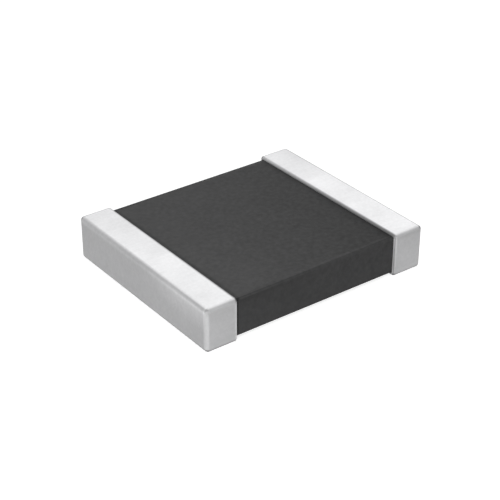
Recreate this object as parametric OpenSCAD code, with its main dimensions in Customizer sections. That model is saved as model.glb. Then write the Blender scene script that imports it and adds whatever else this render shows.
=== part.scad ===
// Multilayer ceramic chip capacitor for surface mounting, size code 2220 (metric 5750).
// A fired block holds flat electrodes that reach its left and right end in turn. Each end wears a
// five-sided termination of three metals, one over the other: copper, nickel and tin.
// The chip lies on the two terminations. X runs along its length, Y across it and Z up, and the
// origin is at the middle of the underside. Lengths are in millimetres.

/* [Chip] */
// Length over both terminations
chip_l = 5.8; // [4.8:0.1:7.0]
// Width over a termination
chip_w = 4.84; // [4.0:0.02:6.0]
// Thickness over a termination
chip_t = 1.04; // [0.86:0.02:2.5]

/* [Terminations] */
// How far a termination wraps along the chip
band_l = 0.78; // [0.5:0.01:1.2]
// Thickness of the copper base
copper_t = 0.056; // [0.03:0.001:0.08]
// Thickness of the nickel barrier
nickel_t = 0.006; // [0.003:0.001:0.01]
// Thickness of the tin plating
tin_t = 0.008; // [0.004:0.001:0.014]
// Radius of a termination's outer edges
edge_r = 0.09; // [0.05:0.005:0.15]
// Radius of the rim that meets the ceramic
rim_r = 0.06; // [0.03:0.005:0.065]

/* [Ceramic] */
// Radius that tumbling leaves on the fired block's edges
ceramic_r = 0.06; // [0.03:0.005:0.1]

/* [Electrodes] */
// How many electrodes, half of them from each end
electrode_n = 20; // [4:2:24]
// Thickness of one electrode
electrode_t = 0.002; // [0.001:0.001:0.004]
// Thickness of the dielectric between two electrodes
dielectric_t = 0.03; // [0.01:0.005:0.035]
// Ceramic left beside the electrodes
side_margin = 0.3; // [0.15:0.05:1.0]
// Ceramic left between an electrode's free end and the end face
end_margin = 0.42; // [0.2:0.02:1.0]

/* [Hidden] */
$fn = 48;

// The three metals together, which is how far a termination stands proud of the ceramic
shell_t = copper_t + nickel_t + tin_t;
ceramic_l = chip_l - 2 * shell_t;
ceramic_w = chip_w - 2 * shell_t;
ceramic_t = chip_t - 2 * shell_t;

electrode_l = ceramic_l - end_margin;
electrode_w = ceramic_w - 2 * side_margin;
pitch = dielectric_t + electrode_t;

function electrode_name(i) = str("electrode_", i < 10 ? "0" : "", i);

// A rectangle from x = 0 to x = l, centred on y. Its corners have one radius at x = 0, another at x = l.
module rounded_outline(l, w, start_r, end_r) {
    translate([start_r, -w / 2]) square([l - start_r - end_r, w]);
    translate([0, start_r - w / 2]) square([l / 2, w - 2 * start_r]);
    translate([l / 2, end_r - w / 2]) square([l / 2, w - 2 * end_r]);
    for (side = [-1, 1]) {
        translate([start_r, side * (w / 2 - start_r)]) circle(start_r);
        translate([l - end_r, side * (w / 2 - end_r)]) circle(end_r);
    }
}

// A turned post along X that fills one long edge of a rounded block. Its radius is start_r, its
// start is half a ball, and its far end is rounded by end_r.
module edge_post(l, start_r, end_r) {
    rotate([90, 0, 90])
        rotate_extrude()
            intersection() {
                square([start_r, l]);
                union() {
                    translate([0, start_r]) circle(start_r);
                    translate([0, start_r]) square([start_r, l - start_r - end_r]);
                    translate([start_r - end_r, l - end_r]) circle(end_r);
                    if (start_r > end_r)
                        translate([0, start_r]) square([start_r - end_r, l - start_r]);
                }
            }
}

// A block from x = 0 to x = l with every edge rounded by edge, but for those round its end at x = l,
// which are rounded by rim.
module rounded_block(l, w, t, edge, rim) {
    linear_extrude(t - 2 * edge, center = true) rounded_outline(l, w, edge, rim);
    rotate([90, 0, 0])
        linear_extrude(w - 2 * edge, center = true) rounded_outline(l, t, edge, rim);
    for (y = [-1, 1], z = [-1, 1])
        translate([0, y * (w / 2 - edge), z * (t / 2 - edge)]) edge_post(l, edge, rim);
}

// The fired block before the electrodes are laid into it
module ceramic_blank() {
    translate([-ceramic_l / 2, 0, chip_t / 2])
        rounded_block(ceramic_l, ceramic_w, ceramic_t, ceramic_r, ceramic_r);
}

// The left termination's outside, once the metals that cover it by depth are taken off
module termination_blank(depth) {
    translate([depth - chip_l / 2, 0, chip_t / 2])
        rounded_block(
            band_l - 2 * depth,
            chip_w - 2 * depth,
            chip_t - 2 * depth,
            edge_r - depth,
            rim_r - depth
        );
}

// Electrode i counts from the bottom. Odd ones reach the left end face and even ones the right.
// Where the stack nearly fills the block, the block's rounded edges trim it.
module electrode_sheet(i) {
    side = i % 2 == 1 ? -1 : 1;
    translate([
        side * end_margin / 2,
        0,
        chip_t / 2 + (i - (electrode_n + 1) / 2) * pitch
    ])
        cube([electrode_l, electrode_w, electrode_t], center = true);
}

module ceramic_body() {
    color([0.25, 0.25, 0.26])
        difference() {
            ceramic_blank();
            for (i = [1 : electrode_n]) electrode_sheet(i);
        }
}

module electrode(i) {
    color([0.62, 0.60, 0.57])
        intersection() {
            electrode_sheet(i);
            ceramic_blank();
        }
}

module copper_base() {
    color([0.80, 0.47, 0.32])
        difference() {
            termination_blank(tin_t + nickel_t);
            ceramic_blank();
        }
}

module nickel_barrier() {
    color([0.70, 0.67, 0.60])
        difference() {
            termination_blank(tin_t);
            termination_blank(tin_t + nickel_t);
            ceramic_blank();
        }
}

module tin_plating() {
    color([0.86, 0.86, 0.87])
        difference() {
            termination_blank(0);
            termination_blank(tin_t);
            ceramic_blank();
        }
}

ceramic_body();
for (i = [1 : electrode_n])
    electrode(i);
copper_base();  // left_copper_base
nickel_barrier();  // left_nickel_barrier
tin_plating();  // left_tin_plating
mirror([1, 0, 0]) copper_base();  // right_copper_base
mirror([1, 0, 0]) nickel_barrier();  // right_nickel_barrier
mirror([1, 0, 0]) tin_plating();  // right_tin_plating
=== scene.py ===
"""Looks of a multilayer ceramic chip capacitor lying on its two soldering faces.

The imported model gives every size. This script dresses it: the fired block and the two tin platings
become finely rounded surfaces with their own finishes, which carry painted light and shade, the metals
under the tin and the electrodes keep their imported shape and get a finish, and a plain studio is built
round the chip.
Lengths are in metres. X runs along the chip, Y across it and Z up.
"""

import math
from types import SimpleNamespace

import bmesh
import bpy
import numpy as np
from mathutils import Matrix, Vector


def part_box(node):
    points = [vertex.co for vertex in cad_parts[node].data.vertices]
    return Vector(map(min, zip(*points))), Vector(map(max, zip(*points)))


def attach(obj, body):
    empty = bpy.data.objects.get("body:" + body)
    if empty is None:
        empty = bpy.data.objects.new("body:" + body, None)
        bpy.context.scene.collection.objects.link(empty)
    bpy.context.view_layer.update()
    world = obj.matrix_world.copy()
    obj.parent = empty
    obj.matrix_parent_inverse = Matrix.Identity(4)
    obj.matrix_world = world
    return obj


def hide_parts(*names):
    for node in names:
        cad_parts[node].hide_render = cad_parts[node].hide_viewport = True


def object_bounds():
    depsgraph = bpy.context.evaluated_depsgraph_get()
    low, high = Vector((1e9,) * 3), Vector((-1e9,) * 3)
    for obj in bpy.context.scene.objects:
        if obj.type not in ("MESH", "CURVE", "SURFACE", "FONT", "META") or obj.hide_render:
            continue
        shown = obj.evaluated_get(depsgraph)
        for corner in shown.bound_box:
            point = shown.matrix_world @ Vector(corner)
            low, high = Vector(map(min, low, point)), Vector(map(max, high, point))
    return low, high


bl_info = {
    "name": "Chip capacitor",
    "version": (1, 0, 0),
    "blender": (4, 5, 0),
    "location": "3D View > Sidebar > Chip",
    "description": "Dresses a packed chip capacitor and builds a studio round it",
    "category": "Object",
}

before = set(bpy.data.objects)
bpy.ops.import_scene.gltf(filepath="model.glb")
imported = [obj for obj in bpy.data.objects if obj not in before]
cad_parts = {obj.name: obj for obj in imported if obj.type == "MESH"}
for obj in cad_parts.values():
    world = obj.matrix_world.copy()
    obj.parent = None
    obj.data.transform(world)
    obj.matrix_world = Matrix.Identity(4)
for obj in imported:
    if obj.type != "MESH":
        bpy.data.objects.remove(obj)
CAD_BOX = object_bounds()

MM = 0.001
SAME_POINT = 1e-8
BODY = "root"
SIDES = ("left", "right")
CERAMIC_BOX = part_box("ceramic_body")
TIN_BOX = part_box("left_tin_plating")
NICKEL_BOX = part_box("left_nickel_barrier")
ELECTRODES = sorted(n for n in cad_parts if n.startswith("electrode_"))

# Thickness of the tin, and how far the termination's outside stands proud of the ceramic
TIN_T = NICKEL_BOX[0].x - TIN_BOX[0].x
SHELL_T = CERAMIC_BOX[0].x - TIN_BOX[0].x


class ChipShape(bpy.types.PropertyGroup):
    """Rounding of the visible surfaces"""

    edge_r: bpy.props.FloatProperty(
        name="Termination edge",
        description="Radius of a termination's outer edges",
        default=0.09 * MM,
        unit="LENGTH",
        precision=6,
    )
    rim_r: bpy.props.FloatProperty(
        name="Termination rim",
        description="Radius of the rim that meets the ceramic",
        default=0.06 * MM,
        unit="LENGTH",
        precision=6,
    )
    ceramic_r: bpy.props.FloatProperty(
        name="Ceramic edge",
        description="Radius that tumbling leaves on the fired block",
        default=0.06 * MM,
        unit="LENGTH",
        precision=6,
    )
    arc_steps: bpy.props.IntProperty(
        name="Arc steps",
        description="How many faces a quarter circle is cut into",
        default=12,
        min=3,
        max=40,
    )


class TinFinish(bpy.types.PropertyGroup):
    """Matte tin plating"""

    colour: bpy.props.FloatVectorProperty(
        name="Colour",
        description="Colour of the plated tin",
        default=(0.55, 0.55, 0.556),
        subtype="COLOR",
        min=0,
        max=1,
    )
    roughness: bpy.props.FloatProperty(
        name="Roughness",
        description="Middle roughness of the plating",
        default=0.6,
        subtype="FACTOR",
        min=0,
        max=1,
    )
    cloud: bpy.props.FloatProperty(
        name="Cloud",
        description="Strength of the broad pale and dull clouds",
        default=0.025,
        subtype="FACTOR",
        min=0,
        max=1,
    )
    wipe: bpy.props.FloatProperty(
        name="Wipe",
        description="Strength of the faint wipes that handling leaves",
        default=0.02,
        subtype="FACTOR",
        min=0,
        max=1,
    )
    grain: bpy.props.FloatProperty(
        name="Grain",
        description="Strength of the fine grain",
        default=0.035,
        subtype="FACTOR",
        min=0,
        max=1,
    )
    # Painted shade along the tin's rounded upper and lower edges
    painted_edge_shade: bpy.props.FloatProperty(
        name="Edge dulling",
        description="How much greyer the tin is along its rounded upper and lower edges",
        default=0.25,
        subtype="FACTOR",
        min=0,
        max=1,
    )
    # Painted light and shade: the tops are paler at the near side and greyer at the far side
    tilt: bpy.props.FloatProperty(
        name="Tilt",
        description="How much paler the tops are at the near side than at the middle",
        default=0.05,
        subtype="FACTOR",
        min=0,
        max=1,
    )
    # Painted shade towards the right top's outer far corner
    far_corner: bpy.props.FloatProperty(
        name="Far corner",
        description="How much greyer the right top is towards its outer far corner",
        default=0.1,
        subtype="FACTOR",
        min=0,
        max=1,
    )
    # Painted sheen of light on the end faces' near upper corner
    sheen: bpy.props.FloatProperty(
        name="Sheen",
        description="How much paler the end faces are at their near upper corner",
        default=0.26,
        subtype="FACTOR",
        min=0,
        max=1,
    )
    # Painted sheen of light beside the end faces' near upright edge
    upright_sheen: bpy.props.FloatProperty(
        name="Upright sheen",
        description="How much paler the end faces are beside their near upright edge",
        default=0.2,
        subtype="FACTOR",
        min=0,
        max=1,
    )
    # Painted light at the foot of the tin's long sides, and painted shade near their top
    foot_sheen: bpy.props.FloatProperty(
        name="Foot sheen",
        description="How much paler the long sides are at their foot",
        default=0.07,
        subtype="FACTOR",
        min=0,
        max=1,
    )
    # Painted light in a thin line below the left sides' upper edge, and painted shade there at the right
    # end
    lip_sheen: bpy.props.FloatProperty(
        name="Lip sheen",
        description="How much paler the left sides are in a thin line below their upper edge",
        default=0.11,
        subtype="FACTOR",
        min=0,
        max=1,
    )
    # Painted shade on the tin's rounded corners
    painted_corner_shade: bpy.props.FloatProperty(
        name="Corner dulling",
        description="How much greyer the tin is on its rounded corners",
        default=0.42,
        subtype="FACTOR",
        min=0,
        max=1,
    )
    # Painted shade towards the top of the left upright edges, and painted light at their foot
    painted_upright_shade: bpy.props.FloatProperty(
        name="Upright dulling",
        description="How much greyer the left upright edges get towards their upper end",
        default=0.09,
        subtype="FACTOR",
        min=0,
        max=1,
    )
    # Painted shade along the rim, with painted light on the long sides
    painted_rim_shade: bpy.props.FloatProperty(
        name="Rim dulling",
        description="How much greyer the tin gets towards the rim, where the plating thins out",
        default=0.43,
        subtype="FACTOR",
        min=0,
        max=1,
    )
    # Painted shade on the upper edges that face right or back
    painted_far_edge_shade: bpy.props.FloatProperty(
        name="Far dulling",
        description="How much greyer the upper edges are that face right or back",
        default=0.4,
        subtype="FACTOR",
        min=0,
        max=1,
    )


class CeramicFinish(bpy.types.PropertyGroup):
    """Dark fired ceramic"""

    colour: bpy.props.FloatVectorProperty(
        name="Colour",
        description="Colour of the fired ceramic",
        default=(0.04, 0.04, 0.0404),
        subtype="COLOR",
        min=0,
        max=1,
    )
    roughness: bpy.props.FloatProperty(
        name="Roughness",
        description="Middle roughness of the fired skin",
        default=0.6,
        subtype="FACTOR",
        min=0,
        max=1,
    )
    cloud: bpy.props.FloatProperty(
        name="Cloud",
        description="Strength of the broad clouds",
        default=0.06,
        subtype="FACTOR",
        min=0,
        max=1,
    )
    mottle: bpy.props.FloatProperty(
        name="Mottle",
        description="Strength of the fine mottling",
        default=0.09,
        subtype="FACTOR",
        min=0,
        max=1,
    )
    # Painted light towards the top's near left corner and painted shade towards its near right one
    lean: bpy.props.FloatProperty(
        name="Lean",
        description="How much the top pales towards its near left corner and darkens to its near right one",
        default=0.7,
        subtype="FACTOR",
        min=0,
        max=1,
    )
    # Painted highlight in a thin line inside the top's long edges
    edge_line: bpy.props.FloatProperty(
        name="Edge line",
        description="How much paler the top is in a thin line inside its long edges, at the right end",
        default=0.55,
        subtype="FACTOR",
        min=0,
        max=2,
    )
    # Painted shade beside the long edges and painted light on the bevel between them, at the left end
    edge_shade: bpy.props.FloatProperty(
        name="Edge shade",
        description="How much darker the skin is beside the tumbled long edges, at the left end",
        default=0.22,
        subtype="FACTOR",
        min=0,
        max=1,
    )
    # Painted shade in a fine line beside the terminations and on the underside, and painted light in that
    # line on the right end's top
    seam: bpy.props.FloatProperty(
        name="Seam",
        description="How much darker the ceramic is in a fine line beside the terminations",
        default=0.45,
        subtype="FACTOR",
        min=0,
        max=1,
    )
    # Painted light at the foot of the long sides and painted shade near their top, at the left end
    foot: bpy.props.FloatProperty(
        name="Foot",
        description="How much paler the long sides are at their foot, at the left end",
        default=0.25,
        subtype="FACTOR",
        min=0,
        max=1,
    )


class Studio(bpy.types.PropertyGroup):
    """Camera and light"""

    azimuth: bpy.props.FloatProperty(
        name="Azimuth",
        description="Camera's turn about the chip, where 0 looks along +Y",
        default=math.radians(-36.97),
        subtype="ANGLE",
    )
    elevation: bpy.props.FloatProperty(
        name="Elevation",
        description="Camera's height above the floor, as an angle",
        default=math.radians(30.24),
        subtype="ANGLE",
    )
    roll: bpy.props.FloatProperty(
        name="Roll",
        description="Camera's turn about its own line of sight",
        default=math.radians(0.175),
        subtype="ANGLE",
    )
    distance: bpy.props.FloatProperty(
        name="Distance",
        description="From the camera to the middle of the chip's underside, along the line of sight",
        default=32.18 * MM,
        unit="LENGTH",
        precision=6,
    )
    rise: bpy.props.FloatProperty(
        name="Rise",
        description="How far the line of sight passes above the middle of the underside",
        default=0.2555 * MM,
        unit="LENGTH",
        precision=6,
    )
    focal_length: bpy.props.FloatProperty(
        name="Focal length",
        description="Focal length for a sensor 36 mm wide",
        default=103.74,
        unit="CAMERA",
    )
    sky: bpy.props.FloatProperty(
        name="Sky",
        description="Radiance of the even light from all round",
        default=0.25,
        min=0,
    )
    front: bpy.props.FloatProperty(
        name="Front",
        description="Radiance of the low, wide soft box in front of the near corner",
        default=3.95,
        min=0,
    )
    above: bpy.props.FloatProperty(
        name="Above",
        description="Radiance of the soft box above the near side",
        default=0.82,
        min=0,
    )
    behind: bpy.props.FloatProperty(
        name="Behind",
        description="Radiance of the soft box behind the chip",
        default=1.29,
        min=0,
    )


def corner_rings(stations, width, thickness, mid_z, steps):
    """Rounded rectangles across X, one for each station (x, inset, radius).

    A ring's sides lie inset inside a width by thickness rectangle round mid_z. Each corner is a quarter
    circle of the station's radius, so a point is the corner's centre plus radius times (cos a, sin a),
    as a goes once round in four equal runs. Returns an array of shape (stations, 4 * (steps + 1), 3).
    """
    x, inset, radius = np.asarray(stations, float).T[:, :, None]
    quarter = np.linspace(0, math.pi / 2, steps + 1)
    angle = (quarter + np.arange(4)[:, None] * math.pi / 2).ravel()
    side_y = np.repeat([1, -1, -1, 1], steps + 1)
    side_z = np.repeat([1, 1, -1, -1], steps + 1)
    y = side_y * (width / 2 - inset - radius) + radius * np.cos(angle)
    z = mid_z + side_z * (thickness / 2 - inset - radius) + radius * np.sin(angle)
    return np.stack([np.broadcast_to(x, y.shape), y, z], axis=-1)


def arc_stations(x, inset, radius, corner, turn, steps):
    """Stations along a quarter circle in the plane of X and inset.

    The circle's middle is at x and inset, and a point lies at angle b: x - radius * cos b,
    inset - radius * sin b, as b goes through the turn (first, last). A ring's corner radius is corner
    less its inset, so every ring is turned about the same corner centres.
    """
    b = np.linspace(*turn, steps + 1)
    depth = inset - radius * np.sin(b)
    return np.stack([x - radius * np.cos(b), depth, corner - depth], axis=1)


def skin(name, stations, box, steps, mirrored=False):
    """A closed mesh through the stations' rings, with a flat face over the first and the last ring."""
    size, middle = box[1] - box[0], (box[0] + box[1]) / 2
    rings = corner_rings(stations, size.y, size.z, middle.z, steps)
    if mirrored:
        rings[..., 0] *= -1
    count, around = rings.shape[:2]
    index = np.arange(count * around).reshape(count, around)
    here, ahead = index, np.roll(index, -1, axis=1)
    quads = np.stack([here[:-1], ahead[:-1], ahead[1:], here[1:]], axis=-1).reshape(-1, 4)
    caps = [index[0][::-1], index[-1]]

    mesh = bpy.data.meshes.new(name)
    mesh.from_pydata(rings.reshape(-1, 3), [], quads.tolist() + [c.tolist() for c in caps])
    work = bmesh.new()
    work.from_mesh(mesh)
    bmesh.ops.remove_doubles(work, verts=work.verts, dist=SAME_POINT)
    bmesh.ops.recalc_face_normals(work, faces=work.faces)
    for face in work.faces:
        face.smooth = True
    work.to_mesh(mesh)
    work.free()

    piece = bpy.data.objects.new(name, mesh)
    bpy.context.scene.collection.objects.link(piece)
    flat = piece.modifiers.new("even flats", "WEIGHTED_NORMAL")
    flat.weight = 100
    return piece


def tin_stations(shape):
    """The tin's section, from the middle of its inner end face out to the rim and back along the outside.

    Along X it starts at the chip's left end. The inside follows the nickel at the tin's thickness.
    """
    end, rim = TIN_BOX[0].x, TIN_BOX[1].x
    edge_r, rim_r, steps = shape.edge_r, shape.rim_r, shape.arc_steps
    inner_edge, inner_rim = edge_r - TIN_T, rim_r - TIN_T
    right_angle = math.pi / 2
    inside = arc_stations(end + edge_r, edge_r, inner_edge, edge_r, (0, right_angle), steps // 2)
    inner_bend = arc_stations(
        rim - rim_r, rim_r, inner_rim, edge_r, (right_angle, math.pi), steps // 2
    )
    lip = [
        (rim - TIN_T, SHELL_T, shape.ceramic_r),
        (rim, SHELL_T, shape.ceramic_r),
    ]
    outer_bend = arc_stations(rim - rim_r, rim_r, rim_r, edge_r, (math.pi, right_angle), steps)
    outside = arc_stations(end + edge_r, edge_r, edge_r, edge_r, (right_angle, 0), steps)
    return np.concatenate([inside, inner_bend, lip, outer_bend, outside])


def ceramic_stations(shape):
    """The fired block's section from its left end face to its right one."""
    r, steps = shape.ceramic_r, shape.arc_steps
    left = arc_stations(CERAMIC_BOX[0].x + r, r, r, r, (0, math.pi / 2), steps)
    right = arc_stations(CERAMIC_BOX[1].x - r, r, r, r, (math.pi / 2, math.pi), steps)
    return np.concatenate([left, right])


def put(tree, kind, inputs=None, **settings):
    """Adds a shader node. Inputs are values or other nodes' outputs, by name or number."""
    node = tree.nodes.new(kind)
    for name, value in settings.items():
        setattr(node, name, value)
    for key, value in (inputs or {}).items():
        if isinstance(value, bpy.types.NodeSocket):
            tree.links.new(value, node.inputs[key])
        else:
            node.inputs[key].default_value = value
    return node


def fresh_material(name):
    """A material with an empty tree, its output and one principled shader joined to it."""
    material = bpy.data.materials.new(name)
    material.use_nodes = True
    tree = material.node_tree
    tree.nodes.clear()
    shader = put(tree, "ShaderNodeBsdfPrincipled")
    put(tree, "ShaderNodeOutputMaterial", {"Surface": shader.outputs[0]})
    return material, tree, shader


def add_relief(tree, shader, height, strength, depth):
    """Fine relief that only bends the light."""
    bump = put(tree, "ShaderNodeBump", {"Strength": strength, "Distance": depth, "Height": height})
    tree.links.new(bump.outputs[0], shader.inputs["Normal"])


def noise(tree, where, size, detail=2.0, roughness=0.5):
    """Soft noise whose blotches are about size across, from 0 to 1."""
    node = put(
        tree,
        "ShaderNodeTexNoise",
        {"Vector": where, "Scale": 1 / size, "Detail": detail, "Roughness": roughness},
    )
    return node.outputs["Fac"]


def spread(tree, value, low, high, start=0.3, end=0.7):
    """Value from start to end becomes low to high, and no more."""
    node = put(
        tree,
        "ShaderNodeMapRange",
        {"Value": value, "From Min": start, "From Max": end, "To Min": low, "To Max": high},
    )
    return node.outputs["Result"]


def grows(tree, value, none, full):
    """0 where the value hasn't passed none yet, and 1 from full on."""
    return spread(tree, value, 0, 1, none, full)


def fades(tree, value, full, none):
    """1 where the value hasn't passed full yet, and 0 from none on."""
    return spread(tree, value, 1, 0, full, none)


def band(tree, value, start, full, last, end):
    """Grows from start to full, stays 1 and fades from last to end."""
    return times(tree, grows(tree, value, start, full), fades(tree, value, last, end))


def times(tree, *values):
    """Numbers multiplied."""
    total = values[0]
    for value in values[1:]:
        total = put(tree, "ShaderNodeMath", {0: total, 1: value}, operation="MULTIPLY").outputs[0]
    return total


def sum_of(tree, *values):
    """Numbers added up."""
    total = values[0]
    for value in values[1:]:
        total = put(tree, "ShaderNodeMath", {0: total, 1: value}, operation="ADD").outputs[0]
    return total


def size_of(tree, value):
    """A number without its sign."""
    return put(tree, "ShaderNodeMath", {0: value}, operation="ABSOLUTE").outputs[0]


def tinted(tree, colour, brightness):
    """A colour made brighter or darker by a number that varies over the surface."""
    node = put(
        tree,
        "ShaderNodeVectorMath",
        {0: tuple(colour), "Scale": brightness},
        operation="SCALE",
    )
    return node.outputs[0]


def speckled(tree, pattern, amount):
    """A brightness round 1 that a noise pattern moves by the amount either way."""
    return spread(tree, pattern, 1 - amount, 1 + amount)


def shaded(tree, amount, *masks):
    """A brightness of 1 plus the amount times every mask."""
    return sum_of(tree, 1, times(tree, *masks, amount))


def darkened(tree, amount, mask):
    """A brightness that goes from 1 to 1 less the amount, as the mask goes from 0 to 1."""
    return spread(tree, mask, 1, 1 - amount, 0, 1)


def around(tree, pattern, middle, swing):
    """The middle plus the swing where a noise pattern is dark, and less the swing where it is pale."""
    return spread(tree, pattern, middle + swing, middle - swing)


def surface(tree):
    """What a finish reads from the chip's surface.

    where is a point's place, and x, y and z are its parts. towards holds how squarely the surface faces
    along each axis, from -1 to 1, and out_x, out_y and out_z are the same without sign. right grows from
    0 to 1 over the chip's middle, and left fades there.
    """
    middle = 1 * MM
    where = put(tree, "ShaderNodeTexCoord").outputs["Object"]
    x, y, z = put(tree, "ShaderNodeSeparateXYZ", {0: where}).outputs
    normal = put(tree, "ShaderNodeTexCoord").outputs["Normal"]
    towards = list(put(tree, "ShaderNodeSeparateXYZ", {0: normal}).outputs)
    out_x, out_y, out_z = (size_of(tree, part) for part in towards)
    return SimpleNamespace(
        where=where,
        x=x,
        y=y,
        z=z,
        towards=towards,
        out_x=out_x,
        out_y=out_y,
        out_z=out_z,
        left=fades(tree, x, -middle, middle),
        right=grows(tree, x, -middle, middle),
    )


def by_end(tree, at, left, right):
    """One number on the left half and another on the right one."""
    return spread(tree, at.right, left, right, 0, 1)


def along(tree, at, box, left, right):
    """Goes from left to right, from one end of a box to the other."""
    return spread(tree, at.x, left, right, box[0].x, box[1].x)


def across(tree, at, box, near, far):
    """Goes from near to far, from a box's near side to its far one."""
    return spread(tree, at.y, near, far, box[0].y, box[1].y)


def upward(tree, at, box, foot, top):
    """Goes from foot to top, from a box's underside to its top."""
    return spread(tree, at.z, foot, top, box[0].z, box[1].z)


def wipe_marks(tree, at):
    """Long faint marks that lie slanting across the chip."""
    turn, stretch, length = math.radians(37), (1, 6, 4), 0.5 * MM
    slanting = put(
        tree, "ShaderNodeMapping", {"Vector": at.where, "Rotation": (0, 0, turn), "Scale": stretch}
    )
    return noise(tree, slanting.outputs[0], length)


def end_sheen(tree, at):
    """The near upper corner of an end face, over about half its width and height, where a sheen of light is
    painted.
    """
    low, high = CAD_BOX
    near = fades(tree, at.y, full=0.55 * low.y, none=0)
    upper = grows(tree, at.z, none=0.45 * high.z, full=0.95 * high.z)
    return times(tree, near, upper, at.out_x)


def beside_upright(tree, at):
    """The strip of an end face that lies beside its near upright edge, where a sheen of light is painted.
    """
    full, none = 0.09 * MM, 0.13 * MM
    near_y = CAD_BOX[0].y
    strip = fades(tree, at.y, near_y + full, near_y + none)
    endwise = put(
        tree, "ShaderNodeMath", {0: at.out_x, 1: at.out_y}, operation="SUBTRACT", use_clamp=True
    )
    return times(tree, strip, endwise.outputs[0])


def lip_line(tree, at):
    """A thin line of painted light below the upper edges, which is negative, for a line of painted shade,
    at the right end.

    The four depths below the top are where it starts, is full, is full last and ends. On the left end's
    long sides it lies higher by the rise.
    """
    depths = (0.17 * MM, 0.1 * MM, 0.07 * MM, 0.03 * MM)
    rise = 0.05 * MM
    level = sum_of(tree, at.z, times(tree, at.left, at.out_y, -rise))
    line = band(tree, level, *(CAD_BOX[1].z - depth for depth in depths))
    return times(tree, line, by_end(tree, at, left=1, right=-0.6))


def right_far_corner(tree, at):
    """The outer far corner of the right end's top, where shade is painted."""
    high = CAD_BOX[1]
    outer = grows(tree, at.x, none=0.75 * high.x, full=high.x)
    far = grows(tree, at.y, none=0, full=high.y)
    return times(tree, outer, far, at.out_z)


def upright_edge(tree, at):
    """Painted shade on the left end's rounded upright edges: negative, for painted light, at their foot,
    and most at their upper end.
    """
    top_z = CAD_BOX[1].z
    # The two parts of a level direction multiply to a half at most, in the middle of the bend
    bend = times(tree, at.left, at.out_x, at.out_y, 2)
    slowly = spread(tree, at.z, low=-0.8, high=0.7, start=0.1 * MM, end=top_z - 0.2 * MM)
    quickly = spread(
        tree, at.z, low=0, high=2.2, start=top_z - 0.17 * MM, end=top_z - 0.09 * MM
    )
    return times(tree, bend, sum_of(tree, slowly, quickly))


def rounded_edge(tree, at):
    """Where shade is painted on the upper and lower edges, where the surface leans, less towards the far
    side and the right.
    """
    leaning = band(tree, at.out_z, start=0, full=0.5, last=0.72, end=0.93)
    nearer = across(tree, at, CAD_BOX, near=1.33, far=0.35)
    leftward = along(tree, at, CAD_BOX, left=1.15, right=0.75)
    return times(tree, leaning, nearer, leftward)


def far_edge(tree, at):
    """The upper edges that face right or back, where shade is painted."""
    rightward, backward = (grows(tree, part, none=0, full=0.35) for part in at.towards[:2])
    upper = grows(tree, at.out_z, none=0.2, full=0.6)
    return times(tree, sum_of(tree, rightward, backward), upper)


def rim_shade_reach(tree, at, rim_r):
    """How far the painted rim shade reaches: 1 at the rim, and 0 a little further out, sooner at the right
    end.
    """
    inside = -TIN_BOX[1].x
    bare = inside + 0.25 * rim_r
    plated = by_end(tree, at, left=inside + 1.4 * rim_r, right=inside + 0.95 * rim_r)
    return fades(tree, size_of(tree, at.x), bare, plated)


def rim_band(tree, at, rim_r):
    """The strip at the rim where shade is painted: 1 is grey, and a negative number is pale, for painted
    light.

    It weakens to the far side and leaves out the rim's rounded corners. On the long sides it is painted
    light, apart from a grey line of painted shade in the right end's bend.
    """
    high = CAD_BOX[1]
    nearer = across(tree, at, CAD_BOX, near=1.6, far=0.25)
    off_corner = shaded(tree, -2, at.out_y, at.out_z)
    outermost = grows(
        tree, size_of(tree, at.y), none=high.y - 0.12 * MM, full=high.y - 0.06 * MM
    )
    below_edge = fades(tree, at.z, full=high.z - 0.11 * MM, none=high.z - 0.04 * MM)
    side = times(tree, outermost, below_edge)
    on_top = times(tree, shaded(tree, -1, side), by_end(tree, at, left=1.5, right=1))
    bend = times(
        tree,
        at.right,
        spread(tree, at.out_y, low=0, high=1.25, start=0.1, end=0.45),
        spread(tree, at.out_y, low=1, high=0.6, start=0.6, end=0.92),
    )
    on_side = times(tree, side, sum_of(tree, by_end(tree, at, left=-0.75, right=-0.57), bend))
    strip = rim_shade_reach(tree, at, rim_r)
    return times(tree, strip, off_corner, nearer, sum_of(tree, on_top, on_side))


def tin_tone(tree, at, finish, rim_r):
    """The tin's brightness, from all the places where light or shade is painted, paler or greyer."""
    most_painted_rim_shade = 0.6
    # Painted shade on the rounded corners
    # The three parts of a direction multiply to 1 / sqrt(27) at most, in the middle of a corner
    corner = times(tree, at.out_x, at.out_y, at.out_z, math.sqrt(27))
    # Painted shade and light in the strip along the rim
    rim = times(tree, rim_band(tree, at, rim_r), finish.painted_rim_shade)
    return times(
        tree,
        # Painted shade on the rounded upper and lower edges
        shaded(tree, -finish.painted_edge_shade, rounded_edge(tree, at)),
        # Painted shade on the upper edges that face right or back
        darkened(tree, finish.painted_far_edge_shade, far_edge(tree, at)),
        darkened(tree, finish.painted_corner_shade, corner),
        # Painted shade and light along the left upright edges
        shaded(tree, -finish.painted_upright_shade, upright_edge(tree, at)),
        spread(tree, rim, 2, 1 - most_painted_rim_shade, -1, most_painted_rim_shade),
        # Painted light at the near side of the tops, painted shade at the far side
        shaded(tree, finish.tilt, across(tree, at, CAD_BOX, near=1, far=-1), at.out_z),
        # Painted shade at the right top's outer far corner
        shaded(tree, -finish.far_corner, right_far_corner(tree, at)),
        # Painted sheen on the end faces' near upper corner
        shaded(tree, finish.sheen, end_sheen(tree, at)),
        # Painted sheen beside the near upright edge
        shaded(tree, finish.upright_sheen, beside_upright(tree, at)),
        # Painted light at the foot of the long sides, painted shade near their top
        shaded(tree, finish.foot_sheen, upward(tree, at, CAD_BOX, foot=1, top=-0.5), at.out_y),
        # Painted light and shade in a thin line below the upper edges
        shaded(tree, finish.lip_sheen, lip_line(tree, at)),
    )


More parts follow.
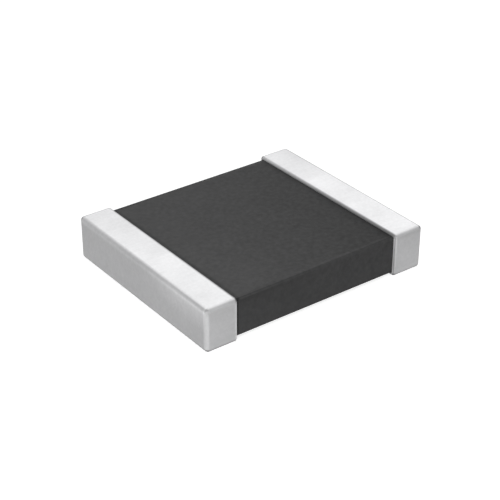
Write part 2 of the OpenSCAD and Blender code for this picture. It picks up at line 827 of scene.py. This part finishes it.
def tin_material(finish, rim_r):
    """Matte tin: a fine grain, broad faint clouds, faint wipes, and painted shade and light on its edges,
    rim and faces.
    """
    material, tree, shader = fresh_material("matte_tin")
    at = surface(tree)
    cloud = noise(tree, at.where, 1.1 * MM, detail=3)
    grain = noise(tree, at.where, 0.06 * MM, detail=3, roughness=0.6)
    brightness = times(
        tree,
        speckled(tree, cloud, finish.cloud),
        speckled(tree, wipe_marks(tree, at), finish.wipe),
        speckled(tree, grain, finish.grain),
        tin_tone(tree, at, finish, rim_r),
    )
    tree.links.new(tinted(tree, finish.colour, brightness), shader.inputs["Base Color"])
    rough = around(tree, cloud, finish.roughness, swing=0.04)
    tree.links.new(rough, shader.inputs["Roughness"])
    shader.inputs["Metallic"].default_value = 1.0
    add_relief(tree, shader, grain, strength=0.3, depth=0.002 * MM)
    return material


def painted_seam_line(tree, at):
    """The thin line of painted shade beside the terminations, which is wider on the left end's top.

    On the right end's top it is negative, for a line of painted light.
    """
    start, full, widening = 0.08 * MM, 0.03 * MM, 0.055 * MM
    inside = -TIN_BOX[1].x
    reach = sum_of(tree, size_of(tree, at.x), times(tree, at.left, at.out_z, widening))
    line = grows(tree, reach, inside - start, inside - full)
    on_side = times(tree, at.out_y, 0.75)
    return times(tree, line, sum_of(tree, by_end(tree, at, left=0.7, right=-0.35), on_side))


def edge_shade_and_bevel_light(tree, at, side_y):
    """Painted shade on the skin beside and below the long edges, and painted light on the bevel between
    them, towards the left end.
    """
    low, high = CERAMIC_BOX
    beside = times(
        tree,
        grows(tree, at.out_z, none=0.8, full=0.93),
        grows(tree, side_y, none=high.y - 0.14 * MM, full=high.y - 0.085 * MM),
        1.25,
    )
    below = times(
        tree,
        grows(tree, at.out_y, none=0.8, full=0.95),
        grows(tree, at.z, none=high.z - 0.13 * MM, full=high.z - 0.07 * MM),
        0.9,
    )
    bevel = times(tree, band(tree, at.out_z, start=0.3, full=0.5, last=0.75, end=0.9), -0.9)
    leftward = fades(tree, at.x, full=0.95 * low.x, none=0.05 * high.x)
    return times(tree, leftward, sum_of(tree, beside, below, bevel))


def long_edge_line(tree, at, side_y):
    """A thin line of painted light on the top, just inside its long edges, which grows towards the right
    end.

    The four insets from the side are where it starts, is full, is full last and ends.
    """
    insets = (0.15 * MM, 0.1 * MM, 0.09 * MM, 0.04 * MM)
    low, high = CERAMIC_BOX
    line = band(tree, side_y, *(high.y - inset for inset in insets))
    return times(tree, line, grows(tree, at.x, none=0.4 * low.x, full=high.x))


def ceramic_tone(tree, at, finish, mottle):
    """The ceramic's brightness, from its mottling and all the places where light or shade is painted, paler
    or darker.
    """
    nearness = across(tree, at, CERAMIC_BOX, near=1, far=-1)
    rightness = along(tree, at, CERAMIC_BOX, left=-1, right=1)
    leftward = along(tree, at, CERAMIC_BOX, left=1, right=0)
    foot = upward(tree, at, CERAMIC_BOX, foot=1, top=-0.4)
    # Painted light and shade across the top, paler to the left and darker to the right
    lean = times(tree, rightness, sum_of(tree, 0.72, times(tree, nearness, 0.28)))
    coarseness = sum_of(tree, 1.05, times(tree, nearness, 0.25), times(tree, rightness, 0.35))
    flat = grows(tree, at.out_z, none=0.9, full=0.99)
    # Faces that look down, where painted shade goes
    underside = fades(tree, at.towards[2], full=-0.7, none=-0.1)
    side_y = size_of(tree, at.y)
    return times(
        tree,
        shaded(tree, 1, spread(tree, mottle, -finish.mottle, finish.mottle), coarseness),
        # Painted light and shade across the top
        shaded(tree, -finish.lean, lean, flat),
        # Painted highlight inside the long edges
        shaded(tree, finish.edge_line, long_edge_line(tree, at, side_y), flat),
        # Painted shade beside the long edges, painted light on the bevel
        shaded(tree, -finish.edge_shade, edge_shade_and_bevel_light(tree, at, side_y)),
        # Painted light at the foot of the long sides, painted shade near their top
        shaded(tree, finish.foot, foot, leftward, at.out_y),
        # Painted shade in the line beside the terminations
        shaded(tree, -finish.seam, painted_seam_line(tree, at)),
        # Painted shade on the underside
        shaded(tree, -finish.seam, underside),
    )


def ceramic_material(finish):
    """Dark fired ceramic: a dull skin with broad clouds and fine mottling, and painted shade and light
    along its seams, edges, underside, top and sides.
    """
    material, tree, shader = fresh_material("fired_ceramic")
    at = surface(tree)
    cloud = noise(tree, at.where, 1.0 * MM, detail=3)
    mottle = noise(tree, at.where, 0.11 * MM, detail=4, roughness=0.65)
    grain = noise(tree, at.where, 0.03 * MM)
    tone = ceramic_tone(tree, at, finish, mottle)
    brightness = times(tree, speckled(tree, cloud, finish.cloud), tone)
    tree.links.new(tinted(tree, finish.colour, brightness), shader.inputs["Base Color"])
    rough = around(tree, mottle, finish.roughness, swing=0.05)
    tree.links.new(rough, shader.inputs["Roughness"])
    shader.inputs["Specular IOR Level"].default_value = 0.1
    add_relief(tree, shader, grain, strength=0.4, depth=0.003 * MM)
    return material


def metal_material(name, colour, roughness, blotch):
    """Bare metal with a dull, faintly blotched skin whose blotches are about the given size."""
    darkest, palest = 0.88, 1.08
    material, tree, shader = fresh_material(name)
    where = put(tree, "ShaderNodeTexCoord").outputs["Object"]
    patches = noise(tree, where, blotch, detail=3)
    blotched = tinted(tree, colour, spread(tree, patches, darkest, palest))
    tree.links.new(blotched, shader.inputs["Base Color"])
    rough = around(tree, patches, roughness, swing=0.08)
    tree.links.new(rough, shader.inputs["Roughness"])
    shader.inputs["Metallic"].default_value = 1.0
    return material


def dress(node, material):
    """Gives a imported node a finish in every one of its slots."""
    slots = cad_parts[node].material_slots
    for slot in slots:
        slot.material = material


class CHIP_OT_tin_plating(bpy.types.Operator):
    """Builds the tin that wraps each end of the chip"""

    bl_idname = "chip.tin_plating"
    bl_label = "Tin plating"

    def execute(self, context):
        shape = context.scene.chip_shape
        material = tin_material(context.scene.tin_finish, shape.rim_r)
        stations = tin_stations(shape)
        for side in SIDES:
            mirrored = side == "right"
            piece = skin(f"{side}_tin_skin", stations, TIN_BOX, shape.arc_steps, mirrored)
            piece.data.materials.append(material)
            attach(piece, BODY)
            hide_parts(f"{side}_tin_plating")
        return {"FINISHED"}


class CHIP_OT_ceramic_body(bpy.types.Operator):
    """Builds the fired block that shows between the terminations"""

    bl_idname = "chip.ceramic_body"
    bl_label = "Ceramic body"

    def execute(self, context):
        shape = context.scene.chip_shape
        piece = skin("ceramic_block", ceramic_stations(shape), CERAMIC_BOX, shape.arc_steps)
        piece.data.materials.append(ceramic_material(context.scene.ceramic_finish))
        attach(piece, BODY)
        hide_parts("ceramic_body")
        return {"FINISHED"}


class CHIP_OT_inner_metals(bpy.types.Operator):
    """Gives the metals under the tin and the electrodes their finish"""

    bl_idname = "chip.inner_metals"
    bl_label = "Inner metals"

    def execute(self, context):
        copper = metal_material(
            "fired_copper", colour=(0.72, 0.34, 0.20), roughness=0.55, blotch=0.15 * MM
        )
        nickel = metal_material(
            "nickel_barrier", colour=(0.60, 0.56, 0.49), roughness=0.35, blotch=0.2 * MM
        )
        film = metal_material(
            "nickel_film", colour=(0.52, 0.49, 0.44), roughness=0.45, blotch=0.25 * MM
        )
        for side in SIDES:
            dress(f"{side}_copper_base", copper)
            dress(f"{side}_nickel_barrier", nickel)
        for node in ELECTRODES:
            dress(node, film)
        return {"FINISHED"}


def camera_frame(studio):
    """The camera's right, up and backward directions from its azimuth, elevation and roll."""
    a, e, r = studio.azimuth, studio.elevation, studio.roll
    back = Vector((math.sin(a) * math.cos(e), -math.cos(a) * math.cos(e), math.sin(e)))
    level = Vector((math.cos(a), math.sin(a), 0))
    up = back.cross(level)
    right = math.cos(r) * level + math.sin(r) * up
    return right, back.cross(right), back


def add_camera(studio):
    """A camera at the photographed angle."""
    right, up, back = camera_frame(studio)
    data = bpy.data.cameras.new("camera")
    data.sensor_width = 36
    data.lens = studio.focal_length
    data.clip_start = 0.5 * MM
    data.clip_end = 10
    camera = bpy.data.objects.new("camera", data)
    bpy.context.scene.collection.objects.link(camera)
    place = back * studio.distance + up * studio.rise
    turn = Matrix((right, up, back)).transposed().to_4x4()
    camera.matrix_world = Matrix.Translation(place) @ turn
    bpy.context.scene.camera = camera


def seen_light(tree, by_camera, by_gloss):
    """A strength for the camera's rays, another for reflections and for what glass shows, else 0."""
    path = put(tree, "ShaderNodeLightPath").outputs
    other = put(
        tree,
        "ShaderNodeMath",
        {0: path["Is Glossy Ray"], 1: path["Is Transmission Ray"]},
        operation="MAXIMUM",
    )
    return sum_of(
        tree,
        times(tree, path["Is Camera Ray"], by_camera),
        times(tree, other.outputs[0], by_gloss),
    )


def add_floor():
    """A pale floor that shows white to the camera and keeps the chip's soft shadow."""
    half = 1.0
    colour = (0.6, 0.6, 0.6, 1)
    glow_near, glow_far, near, far = 0.73, 0.86, 15 * MM, 60 * MM
    glow_in_metal = 0.1
    mesh = bpy.data.meshes.new("floor")
    corners = [(-half, -half, 0), (half, -half, 0), (half, half, 0), (-half, half, 0)]
    mesh.from_pydata(corners, [], [(0, 1, 2, 3)])
    floor = bpy.data.objects.new("floor", mesh)
    bpy.context.scene.collection.objects.link(floor)
    material, tree, shader = fresh_material("pale_floor")
    shader.inputs["Base Color"].default_value = colour
    shader.inputs["Roughness"].default_value = 1
    shader.inputs["Specular IOR Level"].default_value = 0
    where = put(tree, "ShaderNodeTexCoord").outputs["Object"]
    away = put(tree, "ShaderNodeVectorMath", {0: where}, operation="LENGTH").outputs["Value"]
    glow = spread(tree, away, glow_near, glow_far, near, far)
    tree.links.new(seen_light(tree, glow, glow_in_metal), shader.inputs["Emission Strength"])
    shader.inputs["Emission Color"].default_value = (1, 1, 1, 1)
    mesh.materials.append(material)


def add_world(studio):
    """Even light from all round, which the camera and reflections see as plain white."""
    world = bpy.data.worlds.new("studio")
    bpy.context.scene.world = world
    world.use_nodes = True
    tree = world.node_tree
    tree.nodes.clear()
    strength = sum_of(tree, seen_light(tree, 1 - studio.sky, 1 - studio.sky), studio.sky)
    background = put(
        tree, "ShaderNodeBackground", {"Color": (1, 1, 1, 1), "Strength": strength}
    )
    put(tree, "ShaderNodeOutputWorld", {"Surface": background.outputs[0]})


def add_panel(name, direction, distance, width, height, radiance):
    """A soft lamp that faces the chip from a direction and is itself out of sight.

    Its power is radiance times pi times its area.
    """
    data = bpy.data.lights.new(name, "AREA")
    data.shape = "RECTANGLE"
    data.size = width
    data.size_y = height
    data.energy = radiance * math.pi * width * height
    lamp = bpy.data.objects.new(name, data)
    lamp.visible_camera = False
    bpy.context.scene.collection.objects.link(lamp)
    place = Vector(direction).normalized() * distance
    turn = place.to_track_quat("Z", "Y")
    lamp.matrix_world = Matrix.Translation(place) @ turn.to_matrix().to_4x4()


class CHIP_OT_studio(bpy.types.Operator):
    """Builds the camera, the floor, the lamps and the even light"""

    bl_idname = "chip.studio"
    bl_label = "Studio"

    def execute(self, context):
        studio = context.scene.studio
        add_camera(studio)
        add_floor()
        add_world(studio)
        add_panel(
            "front",
            direction=(-0.64, -0.77, 0.25),
            distance=40 * MM,
            width=50 * MM,
            height=30 * MM,
            radiance=studio.front,
        )
        add_panel(
            "above",
            direction=(0, -0.25, 1),
            distance=40 * MM,
            width=40 * MM,
            height=40 * MM,
            radiance=studio.above,
        )
        add_panel(
            "behind",
            direction=(0.52, 0.69, 0.5),
            distance=100 * MM,
            width=80 * MM,
            height=80 * MM,
            radiance=studio.behind,
        )
        context.scene.view_settings.view_transform = "Standard"
        return {"FINISHED"}


class CHIP_PT_panel(bpy.types.Panel):
    """Shows the build steps and the settings for the chip's shape, finishes and studio"""

    bl_label = "Chip capacitor"
    bl_space_type = "VIEW_3D"
    bl_region_type = "UI"
    bl_category = "Chip"

    def draw(self, context):
        for step in STEPS:
            self.layout.operator(step.bl_idname)
        for group in GROUPS:
            column = self.layout.column(align=True)
            for key in GROUPS[group].__annotations__:
                column.prop(getattr(context.scene, group), key)


GROUPS = {
    "chip_shape": ChipShape,
    "tin_finish": TinFinish,
    "ceramic_finish": CeramicFinish,
    "studio": Studio,
}
STEPS = (CHIP_OT_studio, CHIP_OT_ceramic_body, CHIP_OT_tin_plating, CHIP_OT_inner_metals)


def register():
    for cls in (*GROUPS.values(), *STEPS, CHIP_PT_panel):
        bpy.utils.register_class(cls)
    for name, group in GROUPS.items():
        setattr(bpy.types.Scene, name, bpy.props.PointerProperty(type=group))


def unregister():
    for name in GROUPS:
        delattr(bpy.types.Scene, name)
    for cls in (CHIP_PT_panel, *STEPS, *GROUPS.values()):
        bpy.utils.unregister_class(cls)


def main():
    """Builds everything."""
    register()
    bpy.ops.chip.studio()
    bpy.ops.chip.ceramic_body()
    bpy.ops.chip.tin_plating()
    bpy.ops.chip.inner_metals()


if __name__ == "__main__":
    main()
